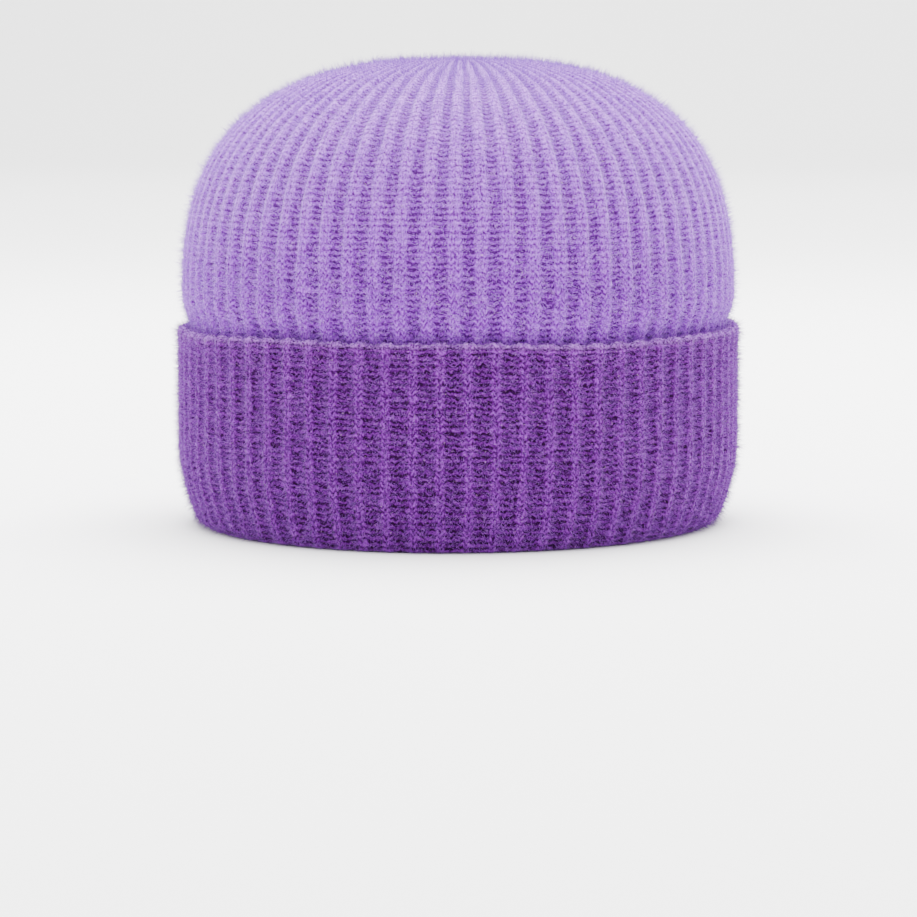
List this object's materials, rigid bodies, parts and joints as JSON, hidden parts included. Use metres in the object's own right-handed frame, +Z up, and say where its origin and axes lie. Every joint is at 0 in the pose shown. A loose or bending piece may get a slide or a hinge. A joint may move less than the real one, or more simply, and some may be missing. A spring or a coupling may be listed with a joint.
{
  "type": "ribbed knit cap",
  "caption": "Ribbed knit cap with a turned-up cuff: a hollow, domed crown of ribbed knit with a gathered top, standing on the rounded fold at its rim.",
  "frame": {"origin": "on the floor under the middle of the rim, which is the bottom centre of the whole cap", "axes": "+Z up through the gathered top, -Y towards the front of the cap, +X towards the wearer's left side as worn facing -Y"},
  "size_m": [0.1804, 0.2034, 0.148],
  "materials": {
    "crown_knit": "brushed wool rib knit, matt, with a pale lilac bloom of fine fibres",
    "cuff_knit": "brushed wool rib knit, matt, violet, with darker hollows between the ribs"
  },
  "bodies": {
    "root": {"crown": "crown_knit", "cuff": "cuff_knit"}
  },
  "joints": []
}
